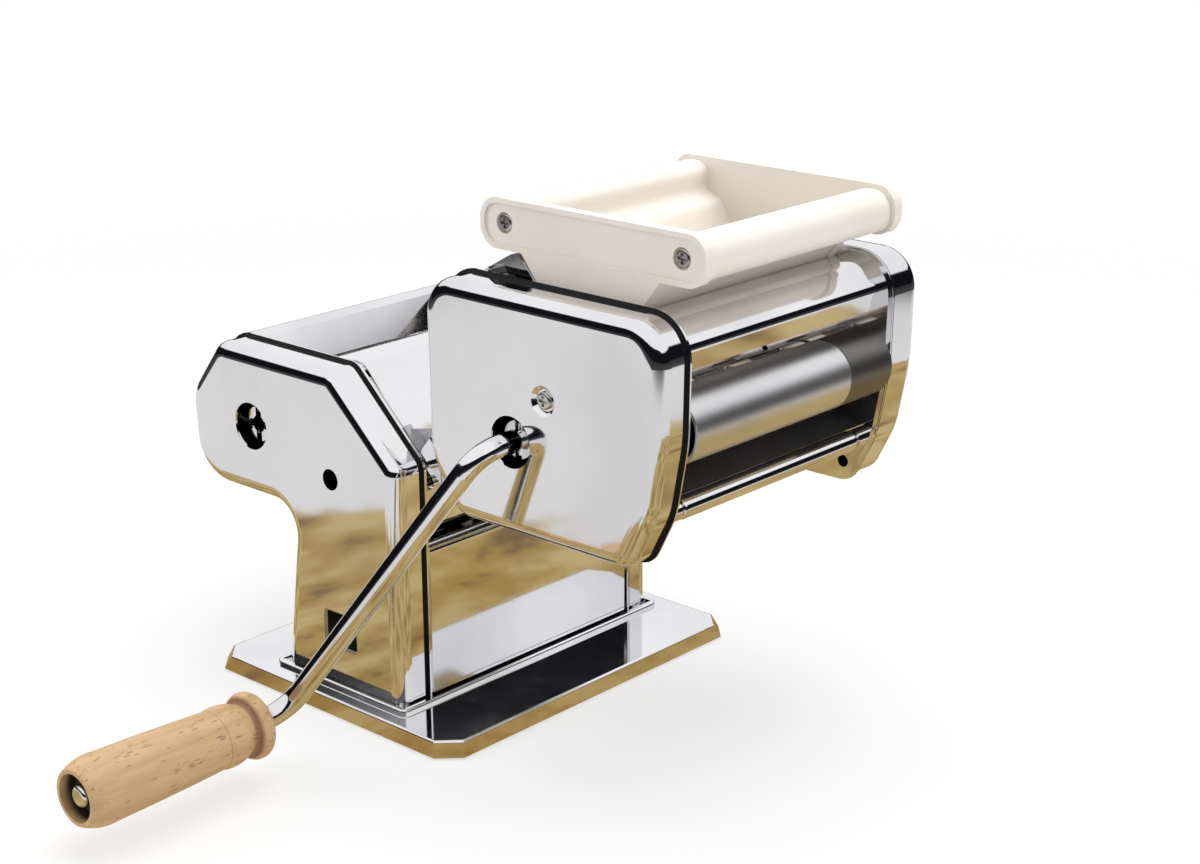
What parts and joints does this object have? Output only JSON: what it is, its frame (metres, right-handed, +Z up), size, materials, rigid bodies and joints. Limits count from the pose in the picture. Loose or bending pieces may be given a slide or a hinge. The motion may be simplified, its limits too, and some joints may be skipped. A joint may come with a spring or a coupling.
{
  "type": "ravioli maker",
  "caption": "Hand cranked sheet rolling machine carrying a ravioli unit with hopper, geared moulding rollers and a wooden gripped crank.",
  "frame": {"origin": "centre of the base on the surface it stands on", "axes": "+X towards the ravioli unit, +Y along the rollers away from the crank, +Z up"},
  "size_m": [0.3516, 0.4056, 0.2854],
  "materials": {
    "polished_steel": "polished chrome plate",
    "roller_metal": "smooth turned",
    "gear_steel": "machined",
    "bearing_plastic": "plain",
    "dark_plastic": "moulded black",
    "cream_plastic": "moulded cream",
    "screw_steel": "plated",
    "foot_rubber": "matte",
    "beech": "varnished beech"
  },
  "bodies": {
    "machine": {"base_tray": "polished_steel", "rubber_feet": "foot_rubber", "near_frame": "polished_steel", "far_frame": "polished_steel", "near_rail": "gear_steel", "far_rail": "gear_steel", "near_cover": "polished_steel", "far_cover": "polished_steel", "near_clamp_sleeve": "gear_steel", "far_clamp_sleeve": "gear_steel", "top_and_slope_panel": "polished_steel", "head_front_panel": "polished_steel", "column_wall_panel": "polished_steel", "column_back_panel": "polished_steel", "frame_spacer_rods": "polished_steel", "fixed_roller_bushes": "bearing_plastic", "sheet_scrapers": "dark_plastic"},
    "fixed_roller": {"fixed_sheet_roller": "roller_metal", "fixed_roller_gear": "gear_steel"},
    "roller_carriage": {"moving_roller_bearings": "bearing_plastic", "regulator_follower": "gear_steel"},
    "moving_roller": {"moving_sheet_roller": "roller_metal", "moving_roller_gear": "gear_steel"},
    "regulator": {"regulator_cam_shaft": "gear_steel"},
    "knob": {"regulator_knob": "dark_plastic"},
    "ravioli_unit": {"unit_near_frame": "polished_steel", "unit_far_frame": "polished_steel", "unit_near_cover": "polished_steel", "unit_far_cover": "polished_steel", "cover_posts": "gear_steel", "unit_cover_screws": "screw_steel", "near_hook": "gear_steel", "far_hook": "gear_steel", "front_top_shell": "polished_steel", "back_top_shell": "polished_steel", "front_guide_tube": "polished_steel", "back_guide_tube": "polished_steel", "front_low_rod": "polished_steel", "back_low_rod": "polished_steel", "front_stripper": "dark_plastic", "back_stripper": "dark_plastic", "driven_mould_bushes": "bearing_plastic", "idle_mould_bushes": "bearing_plastic"},
    "driven_mould": {"driven_mould_roller": "roller_metal", "driven_mould_gear": "gear_steel"},
    "idle_mould": {"idle_mould_roller": "roller_metal", "idle_mould_gear": "gear_steel"},
    "hopper": {"hopper_near_end": "cream_plastic", "hopper_far_end": "cream_plastic", "hopper_walls": "cream_plastic", "hopper_screws": "screw_steel"},
    "crank": {"crank_rod": "polished_steel", "spindle_washer": "gear_steel"},
    "grip": {"wooden_grip": "beech"}
  },
  "joints": [
    {"name": "fixed_roller_spin", "type": "hinge", "parent": "machine", "child": "fixed_roller", "pos_m": [-0.069, 0, 0.1415], "axis": [0, 1, 0], "continuous": true},
    {"name": "regulator_turn", "type": "hinge", "parent": "machine", "child": "regulator", "pos_m": [-0.0986, 0, 0.1415], "axis": [0, 1, 0], "range_deg": [0, 300]},
    {"name": "knob_pull", "type": "slide", "parent": "regulator", "child": "knob", "axis": [0, 1, 0], "range_m": [0, 0.004], "stiffness_N_per_m": 400},
    {"name": "carriage_slide", "type": "slide", "parent": "machine", "child": "roller_carriage", "axis": [-1, 0, 0], "range_m": [0, 0.0024]},
    {"name": "moving_roller_spin", "type": "hinge", "parent": "roller_carriage", "child": "moving_roller", "pos_m": [-0.0986, 0, 0.1415], "axis": [0, 1, 0], "continuous": true},
    {"name": "unit_slide", "type": "slide", "parent": "machine", "child": "ravioli_unit", "axis": [-0.7336, 0, 0.6796], "range_m": [0, 0.05]},
    {"name": "driven_mould_spin", "type": "hinge", "parent": "ravioli_unit", "child": "driven_mould", "pos_m": [0.1256, 0, 0.175], "axis": [0, 1, 0], "continuous": true},
    {"name": "idle_mould_spin", "type": "hinge", "parent": "ravioli_unit", "child": "idle_mould", "pos_m": [0.1684, 0, 0.175], "axis": [0, 1, 0], "continuous": true},
    {"name": "hopper_lift", "type": "slide", "parent": "ravioli_unit", "child": "hopper", "axis": [0, 0, 1], "range_m": [0, 0.06]},
    {"name": "crank_pull", "type": "slide", "parent": "driven_mould", "child": "crank", "axis": [0, -1, 0], "range_m": [0, 0.03]},
    {"name": "grip_spin", "type": "hinge", "parent": "crank", "child": "grip", "pos_m": [0.0318, -0.238, 0.03], "axis": [0, 1, 0], "continuous": true}
  ],
  "couplings": [
    {"joint": "moving_roller_spin", "follows": "fixed_roller_spin", "ratio": -1},
    {"joint": "regulator_turn", "follows": "carriage_slide", "rad_per_m": 2181.7},
    {"joint": "idle_mould_spin", "follows": "driven_mould_spin", "ratio": -1}
  ]
}
